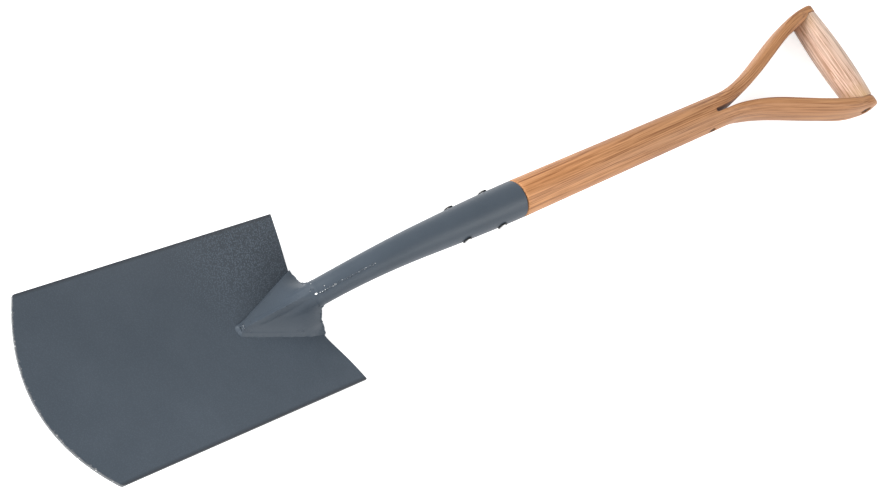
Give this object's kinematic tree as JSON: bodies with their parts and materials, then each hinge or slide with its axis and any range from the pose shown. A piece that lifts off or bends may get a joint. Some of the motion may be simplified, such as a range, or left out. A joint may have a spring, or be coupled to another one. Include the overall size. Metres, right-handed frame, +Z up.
{
  "type": "digging spade",
  "caption": "Digging spade: a dished steel blade on a swan-necked socket, and an ash shaft split into bent arms that hold a turned cross grip.",
  "frame": {"origin": "centre of the bounding box, at its bottom, with the spade lying on its back", "axes": "+X across the blade, +Y from the cutting edge to the grip, +Z up, out of the blade's dished front face"},
  "size_m": [0.1968, 1.055, 0.0903],
  "materials": {
    "slate_powder_coat": "satin powder coat with a fine orange peel",
    "bare_steel": "bright, lightly worn",
    "oiled_ash": "sanded and oiled, long grain",
    "pale_ash": "turned, sanded and waxed"
  },
  "bodies": {
    "root": {"blade": "slate_powder_coat", "lug": "slate_powder_coat", "socket": "slate_powder_coat", "lug_weld": "slate_powder_coat", "neck_weld": "slate_powder_coat", "seam_weld": "slate_powder_coat", "shoulder_weld_left": "slate_powder_coat", "shoulder_weld_right": "slate_powder_coat", "lower_socket_rivet": "bare_steel", "upper_socket_rivet": "bare_steel", "shaft": "oiled_ash", "grip": "pale_ash", "grip_rod": "bare_steel", "grip_rod_washer_left": "bare_steel", "grip_rod_washer_right": "bare_steel", "fork_rivet": "bare_steel", "fork_rivet_washer_left": "bare_steel", "fork_rivet_washer_right": "bare_steel"}
  },
  "joints": []
}
